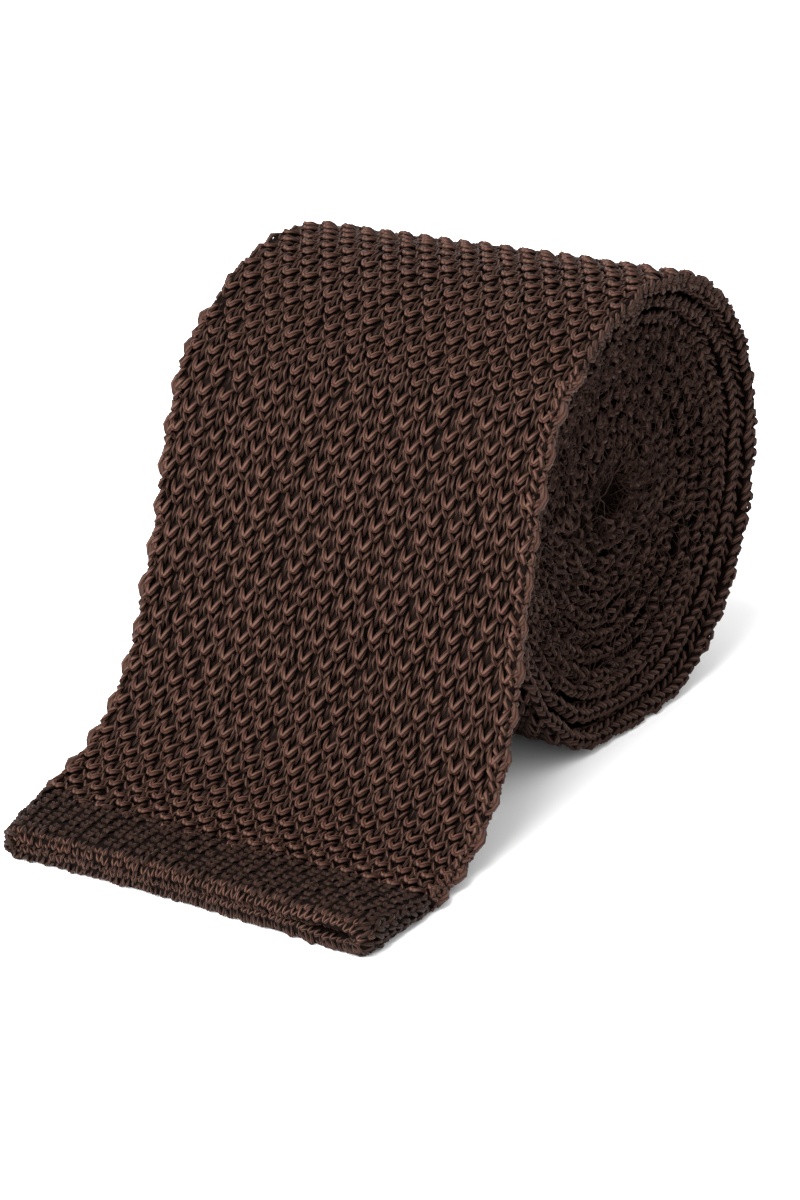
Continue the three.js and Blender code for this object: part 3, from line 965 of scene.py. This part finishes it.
for side in ("left", "right"):
    for part, first, last, chains, degrees in fold_ranges:
        face = edge_face(f"edge_{side}_{part}", first, last, degrees, side == "right")
        # Folds on the ramp take the blade's yarn; the others take the copy with its own painted light and
        # shade.
        yarn = body_yarn if part == "ramp" else end_yarn
        disorder = 0.32 if part in ("inner", "core") else 0.2
        lay(f"fold_stitches_{side}_{part}", face, fold_stitch, yarn,
                          **rows_between(first, last, fold_spacing), **{
                              "Columns": chains, "Row shift": 0.0, "Size spread": 0.15,
                              "Turn spread": disorder, "Place spread": disorder / 1000})
        if part == "ramp":
            face = edge_face(f"loops_{side}_face", first, last, loop_degrees[side],
                             side == "right")
            lay(f"edge_loops_{side}", face, edge_loop, body_yarn,
                              **rows_between(first, last, 2 * row_spacing),
                              **{"Columns": 1, "Row shift": 0.0, "Size spread": 0.12})
        if part in ("inner", "core"):
            spacing, columns_here = (0.0011, 1) if part == "inner" else (0.0005, 2)
            lay(f"loose_fibres_{side}_{part}", face, loose_fibre, end_yarn,
                              **rows_between(first, last, spacing), **{
                                  "Columns": columns_here, "Row shift": 0.0, "Size spread": 0.4,
                                  "Turn spread": 0.6, "Place spread": 0.0008})

# %% [markdown]
# The band's stitches are half as wide as the blade's and stand in straight columns. They go over
# the front edge and down to the floor, and two columns run along each side edge.

# %% Stitches on the band
band_row = 0.0018
lip_row = 0.0012


def lay_on_band(name, grid, columns_across, stitch=plain_stitch, row=band_row,
                yarn=shaded_band_yarn):
    """Lays plain stitches. The grid's rows go along the columns of stitches."""
    steps = np.linalg.norm(np.diff(grid, axis=0), axis=2).mean(axis=1)
    along = np.repeat(np.concatenate(([0], np.cumsum(steps)))[:, None], grid.shape[1], axis=1)
    face = face_object(name, grid, along)
    helpers.append(face)
    lay(name + "_stitches", face, stitch, yarn,
                      **{"Row spacing": row, "Rows": int(along[-1, 0] / row + 0.3),
                         "Columns": columns_across, "Row shift": 0.0, "Size spread": 0.12,
                         "Turn spread": 0.2, "Place spread": 0.00018})


def band_edge(right):
    """The fold at a side of the band, from front to back and from its top round to the floor."""
    rows = []
    for way in np.linspace(1.0, 0.0, 24):
        along = way * band_length
        sign = 1 if right else -1
        edge = from_table(lean_rows, min(way - 1, -0.001))[right] * blade_width
        edge -= sign * corner_inset(along)
        half = band_height(way, float(right)) / 2
        rows.append([(edge + sign * (half * math.cos(angle) - half),
                      -floor_reach + along,
                      half + half * math.sin(angle))
                     for angle in np.radians((66, 40, 15, -10, -40, -78))[::-sign]])
    return (np.array(rows) + move) / 1000


band_columns_front = band_grid[1:-1].transpose(1, 0, 2)
lay_on_band("band_front", band_columns_front[:12][::-1], 35)
# The front edge takes the lighter yarns of the blade and of the folds instead of the band's own: painted
# light on the front edge.
lay_on_band("band_nose", band_columns_front[9:17][::-1], 48, lip_stitch, lip_row, body_yarn)
lay_on_band("band_lip", band_columns_front[15:23][::-1], 52, lip_stitch, lip_row, end_yarn)
lay_on_band("band_left", band_edge(0), 3)
lay_on_band("band_right", band_edge(1), 3)

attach(ground, "root")
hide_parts("blade_knit", "neck_knit", "tail_knit", "tail_end_band")
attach(band, "root")
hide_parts("blade_end_band")
for helper in helpers:
    bpy.data.objects.remove(helper)
